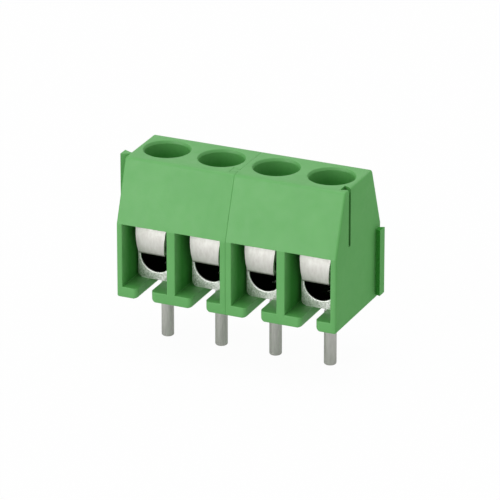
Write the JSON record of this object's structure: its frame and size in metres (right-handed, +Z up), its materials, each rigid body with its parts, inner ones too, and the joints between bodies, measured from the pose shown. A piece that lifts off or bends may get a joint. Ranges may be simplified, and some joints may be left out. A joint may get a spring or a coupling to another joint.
{
  "type": "screw terminal block",
  "caption": "Board-mount screw terminal block: sloped green housings with front wire pockets, clamp bodies, wire guards, clamp screws in top holes and solder pins.",
  "frame": {"origin": "on the circuit board's top face, at the middle of the row, on the line of the solder pins", "axes": "+X along the row to the right seen from the wire side, -Y towards the entering wires, +Z up"},
  "size_m": [0.0148, 0.0066, 0.0118],
  "materials": {
    "housing_plastic": "satin",
    "clamp_plating": "tin plated",
    "guard_steel": "bright",
    "screw_steel": "zinc plated",
    "pin_tin": "matt tin plated"
  },
  "bodies": {
    "housing": {"housing_1": "housing_plastic", "housing_2": "housing_plastic", "clamp_body_1": "clamp_plating", "clamp_body_2": "clamp_plating", "clamp_body_3": "clamp_plating", "clamp_body_4": "clamp_plating", "solder_pin_1": "pin_tin", "solder_pin_2": "pin_tin", "solder_pin_3": "pin_tin", "solder_pin_4": "pin_tin"},
    "wire_guard_1": {"wire_guard_1": "guard_steel"},
    "clamp_screw_1": {"clamp_screw_1": "screw_steel"},
    "wire_guard_2": {"wire_guard_2": "guard_steel"},
    "clamp_screw_2": {"clamp_screw_2": "screw_steel"},
    "wire_guard_3": {"wire_guard_3": "guard_steel"},
    "clamp_screw_3": {"clamp_screw_3": "screw_steel"},
    "wire_guard_4": {"wire_guard_4": "guard_steel"},
    "clamp_screw_4": {"clamp_screw_4": "screw_steel"}
  },
  "joints": [
    {"name": "guard_1_slide", "type": "slide", "parent": "housing", "child": "wire_guard_1", "axis": [0, 0, -1], "range_m": [-0.0002, 0.0009]},
    {"name": "screw_1_turn", "type": "hinge", "parent": "wire_guard_1", "child": "clamp_screw_1", "pos_m": [-0.00525, 0.00008, 0.006], "axis": [0, 0, -1], "range_deg": [-180, 810]},
    {"name": "guard_2_slide", "type": "slide", "parent": "housing", "child": "wire_guard_2", "axis": [0, 0, -1], "range_m": [-0.0002, 0.0009]},
    {"name": "screw_2_turn", "type": "hinge", "parent": "wire_guard_2", "child": "clamp_screw_2", "pos_m": [-0.00175, 0.00008, 0.006], "axis": [0, 0, -1], "range_deg": [-180, 810]},
    {"name": "guard_3_slide", "type": "slide", "parent": "housing", "child": "wire_guard_3", "axis": [0, 0, -1], "range_m": [-0.0002, 0.0009]},
    {"name": "screw_3_turn", "type": "hinge", "parent": "wire_guard_3", "child": "clamp_screw_3", "pos_m": [0.00175, 0.00008, 0.006], "axis": [0, 0, -1], "range_deg": [-180, 810]},
    {"name": "guard_4_slide", "type": "slide", "parent": "housing", "child": "wire_guard_4", "axis": [0, 0, -1], "range_m": [-0.0002, 0.0009]},
    {"name": "screw_4_turn", "type": "hinge", "parent": "wire_guard_4", "child": "clamp_screw_4", "pos_m": [0.00525, 0.00008, 0.006], "axis": [0, 0, -1], "range_deg": [-180, 810]}
  ],
  "couplings": [
    {"joint": "screw_1_turn", "follows": "guard_1_slide", "rad_per_m": 15708},
    {"joint": "screw_2_turn", "follows": "guard_2_slide", "rad_per_m": 15708},
    {"joint": "screw_3_turn", "follows": "guard_3_slide", "rad_per_m": 15708},
    {"joint": "screw_4_turn", "follows": "guard_4_slide", "rad_per_m": 15708}
  ]
}
